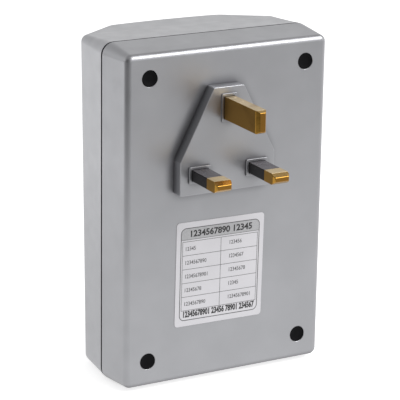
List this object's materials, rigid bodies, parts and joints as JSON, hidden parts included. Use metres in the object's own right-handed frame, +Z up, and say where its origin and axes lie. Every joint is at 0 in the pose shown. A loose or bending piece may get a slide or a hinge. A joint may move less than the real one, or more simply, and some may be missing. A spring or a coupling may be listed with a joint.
{
  "type": "plug-in spike suppressor box",
  "caption": "Silver two-shell mains box on a three-pin plug, with raised plug pad, sleeved brass pins, capped screw wells, rating label and a wired board inside.",
  "frame": {"origin": "on the plug face, midway between the live and neutral pins", "axes": "+Z up when plugged in, with the earth pin at the top; +Y along the pins, into the socket; the front of the box faces -Y"},
  "size_m": [0.0806, 0.0765, 0.1213],
  "materials": {
    "silver_plastic": "satin silver paint on moulded plastic",
    "smoked_window": "polished smoked acrylic",
    "label_film": "coated white film with thin printed rules",
    "black_cap": "matt black plastic",
    "screw_steel": "zinc plated",
    "brass": "satin, lightly tarnished",
    "sleeve_black": "moulded black insulation",
    "carrier_black": "glass-filled moulding",
    "board_laminate": "bare phenolic laminate",
    "capacitor_black": "resin-filled box",
    "foam_white": "closed-cell foam tape",
    "strap_steel": "folded sheet",
    "capacitor_yellow": "moulded box",
    "varistor_blue": "dipped epoxy",
    "clear_glass": "clear tube",
    "tinned_metal": "tin plate",
    "clip_brass": "tinned spring brass",
    "diode_black": "moulded epoxy",
    "capacitor_sleeve": "shrink sleeve",
    "resistor_blue": "metal-oxide coating",
    "resistor_tan": "carbon-film coating",
    "led_green": "tinted clear epoxy",
    "wire_brown": "PVC insulation",
    "wire_blue": "PVC insulation",
    "wire_green": "PVC insulation",
    "wire_red": "PVC insulation"
  },
  "bodies": {
    "root": {"rear_shell": "silver_plastic", "front_shell": "silver_plastic", "front_window": "smoked_window", "rating_label": "label_film", "case_screws": "screw_steel", "screw_caps": "black_cap", "earth_pin": "brass", "live_pin": "brass", "neutral_pin": "brass", "live_sleeve": "sleeve_black", "neutral_sleeve": "sleeve_black", "pin_carrier": "carrier_black", "carrier_screws": "screw_steel", "main_board": "board_laminate", "board_screws": "screw_steel", "power_capacitor": "capacitor_black", "capacitor_pad": "foam_white", "capacitor_strap": "strap_steel", "strap_screws": "screw_steel", "suppressor_capacitor": "capacitor_yellow", "varistor_live_neutral": "varistor_blue", "varistor_live_earth": "varistor_blue", "varistor_neutral_earth": "varistor_blue", "fuse_tube": "clear_glass", "fuse_end_caps": "tinned_metal", "fuse_wire": "tinned_metal", "fuse_clips": "clip_brass", "rectifier_diodes": "diode_black", "smoothing_capacitor": "capacitor_sleeve", "bleed_resistor": "resistor_blue", "led_resistors": "resistor_tan", "led_left": "led_green", "led_right": "led_green", "led_spacers": "carrier_black", "live_wire": "wire_brown", "neutral_wire": "wire_blue", "earth_wire": "wire_green", "capacitor_live_wire": "wire_red", "capacitor_neutral_wire": "wire_red"}
  },
  "joints": []
}
